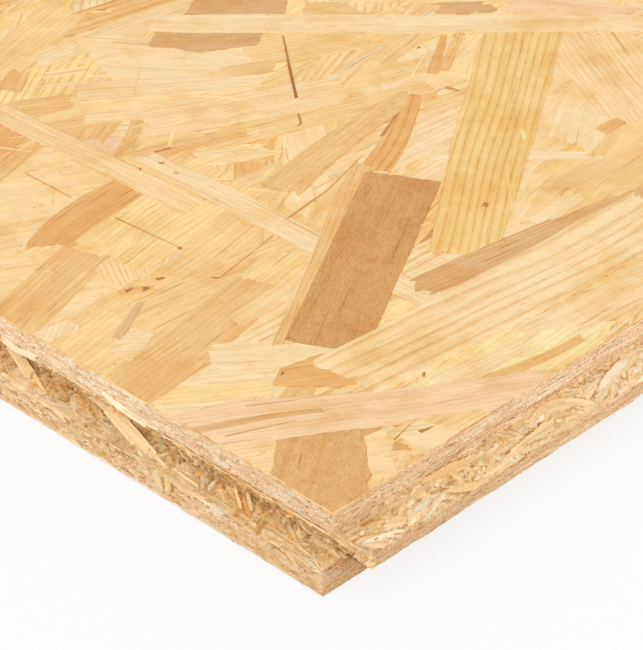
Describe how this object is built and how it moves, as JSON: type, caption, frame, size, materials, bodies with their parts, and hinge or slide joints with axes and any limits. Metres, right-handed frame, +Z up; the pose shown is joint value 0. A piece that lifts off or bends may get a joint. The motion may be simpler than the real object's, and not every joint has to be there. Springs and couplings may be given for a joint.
{
  "type": "tongue-and-groove osb panel",
  "caption": "Flat panel of oriented strand board, tongued on adjoining edges and grooved on the opposite ones, for floors, walls and roof decks.",
  "frame": {"origin": "middle of the underside, at the centre of the panel's overall outline", "axes": "+X along the panel towards its tongued short edge, +Y across it towards its grooved long edge, +Z up through its thickness"},
  "size_m": [2.5, 0.675, 0.022],
  "materials": {
    "strand_board": "pressed, unsanded strands under a thin wax film"
  },
  "bodies": {
    "root": {"osb_panel": "strand_board"}
  },
  "joints": []
}
